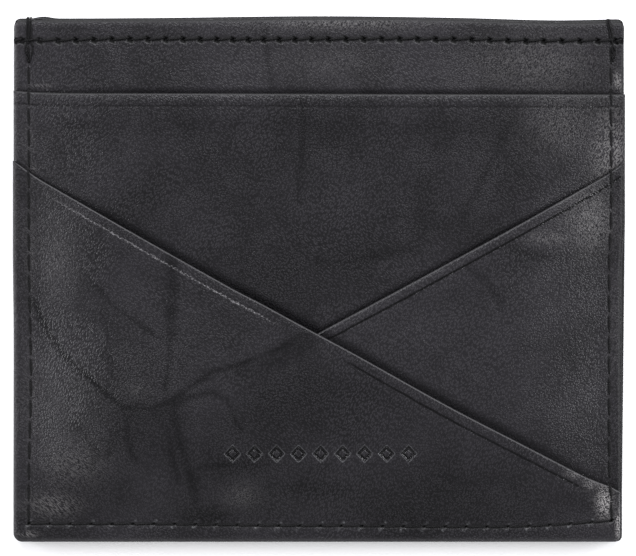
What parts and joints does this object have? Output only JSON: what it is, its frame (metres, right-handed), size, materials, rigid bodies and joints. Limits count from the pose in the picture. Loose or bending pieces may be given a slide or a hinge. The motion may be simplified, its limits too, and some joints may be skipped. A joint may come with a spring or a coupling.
{
  "type": "card holder",
  "caption": "Slim leather card holder with a top-opening middle compartment, a straight card pocket and crossed slanted card pockets on the front, sewn along its sides and bottom.",
  "frame": {"origin": "centre of the holder's flat back, on the surface it lies on", "axes": "+X to the right as the front is seen, +Y towards the open end of the middle compartment, +Z out of the front"},
  "size_m": [0.096, 0.0826, 0.008],
  "materials": {
    "leather": "black full-grain leather, fine pebble, low sheen",
    "lining": "black woven lining",
    "thread": "black bonded sewing thread"
  },
  "bodies": {
    "root": {"back_panel": "leather", "back_lining": "lining", "front_lining": "lining", "front_panel": "leather", "front_panel_margin": "leather", "slot_pocket_lining": "lining", "slot_pocket_margin": "leather", "slot_pocket": "leather", "right_pocket_lining": "lining", "right_pocket_margin": "leather", "right_pocket": "leather", "left_pocket_lining": "lining", "left_pocket_margin": "leather", "left_pocket": "leather", "body_seam_needle_thread": "thread", "body_seam_bobbin_thread": "thread", "front_hem_needle_thread": "thread", "front_hem_bobbin_thread": "thread", "back_hem_needle_thread": "thread", "back_hem_bobbin_thread": "thread"}
  },
  "joints": []
}
